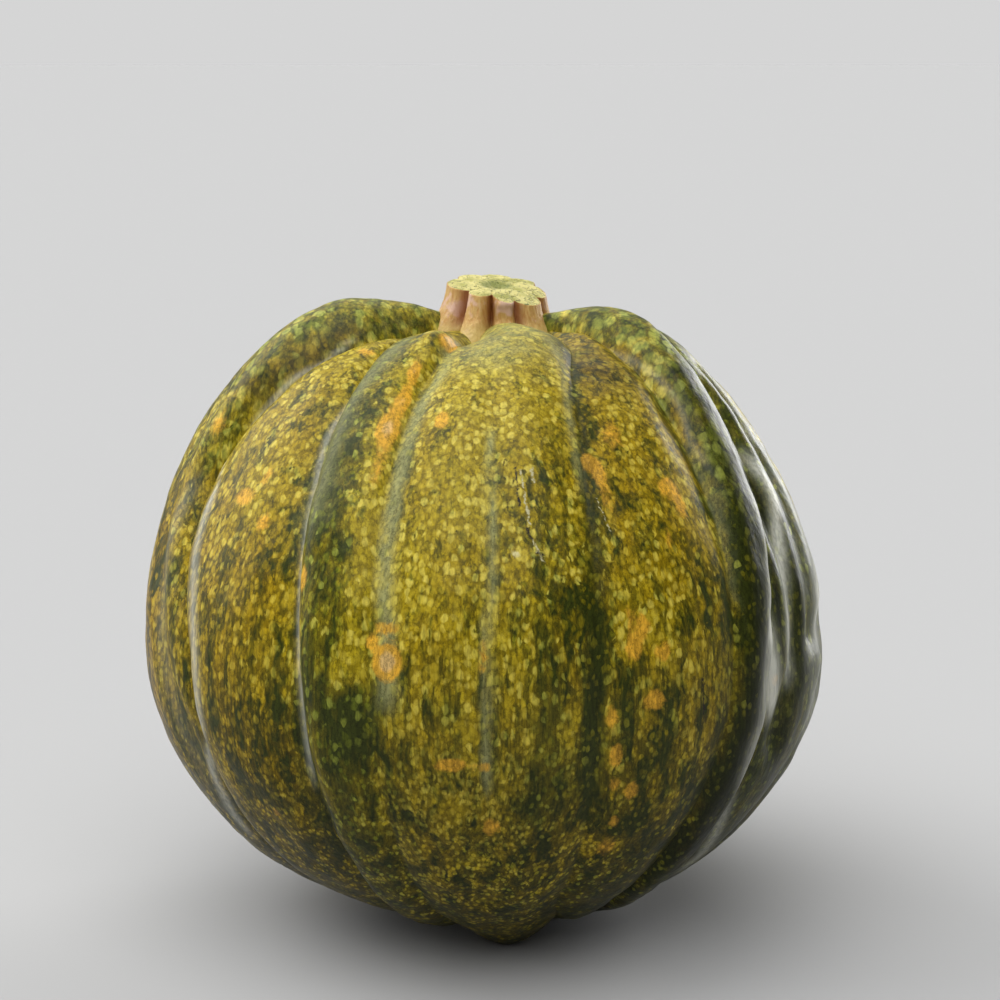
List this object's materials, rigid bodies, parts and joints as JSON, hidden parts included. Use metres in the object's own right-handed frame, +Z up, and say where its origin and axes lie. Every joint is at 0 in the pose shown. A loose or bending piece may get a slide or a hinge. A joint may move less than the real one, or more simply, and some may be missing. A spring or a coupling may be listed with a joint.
{
  "type": "kabocha squash",
  "caption": "Ribbed, nearly round winter squash with raised shoulders round a short, cut, corky stem, resting on low toes at its blossom end.",
  "frame": {"origin": "on the surface that the squash rests on, under the middle of its bounding box", "axes": "+Z up along the core towards the stem; -Y towards the front lobe, the side that the picture shows; +X to the right of that side"},
  "size_m": [0.1696, 0.17, 0.1601],
  "materials": {
    "rind": "satin",
    "cork": "matte"
  },
  "bodies": {
    "root": {"fruit": "rind", "stem": "cork"}
  },
  "joints": []
}
